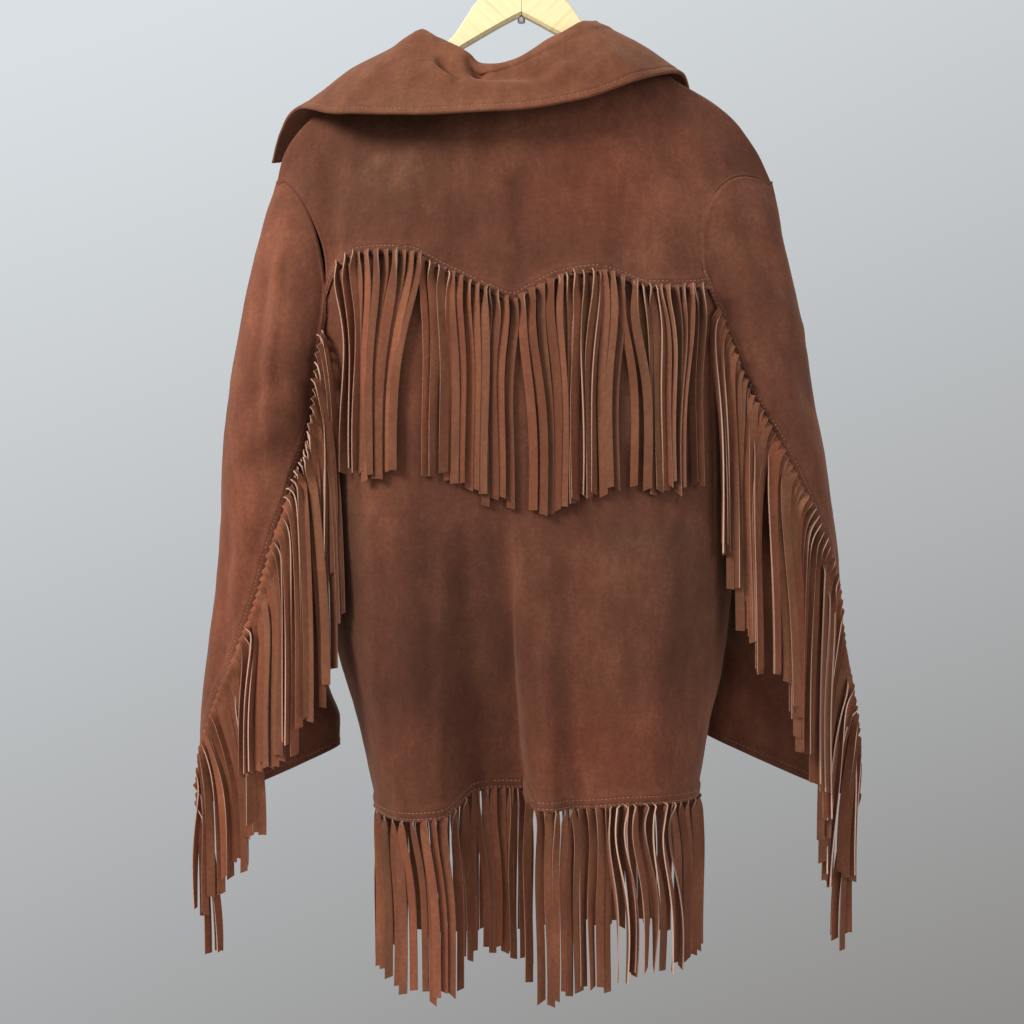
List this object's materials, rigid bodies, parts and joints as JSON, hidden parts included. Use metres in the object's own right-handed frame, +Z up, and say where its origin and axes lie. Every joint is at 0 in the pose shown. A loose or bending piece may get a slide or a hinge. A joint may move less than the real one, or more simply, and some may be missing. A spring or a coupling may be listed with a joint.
{
  "type": "fringed buckskin jacket on a wooden hanger",
  "caption": "Fringed suede jacket with a wide turned-down collar and a scalloped back yoke, hanging on a two-piece wooden hanger with a steel hook.",
  "frame": {"origin": "inner top of the hanger's hook, where a rail holds it", "axes": "+Z up, the jacket's front faces -Y and its back +Y, the wearer's left is +X"},
  "size_m": [0.7221, 0.2288, 1.1492],
  "materials": {
    "suede": "napped rust-brown suede",
    "collar": "napped rust-brown suede, top-stitched",
    "fringe": "cut suede strips with pale edges",
    "wood": "clear varnished pale beech",
    "steel": "polished"
  },
  "bodies": {
    "root": {"back_yoke": "suede", "back_panel": "suede", "front_left": "suede", "front_right": "suede", "sleeve_upper_left": "suede", "sleeve_under_left": "suede", "sleeve_upper_right": "suede", "sleeve_under_right": "suede", "collar": "collar", "yoke_fringe": "fringe", "sleeve_fringe_left": "fringe", "sleeve_fringe_right": "fringe", "hem_fringe_back": "fringe", "hem_fringe_front_left": "fringe", "hem_fringe_front_right": "fringe", "hanger_left": "wood", "hanger_right": "wood", "hanger_hook": "steel", "hanger_nut": "steel"}
  },
  "joints": []
}
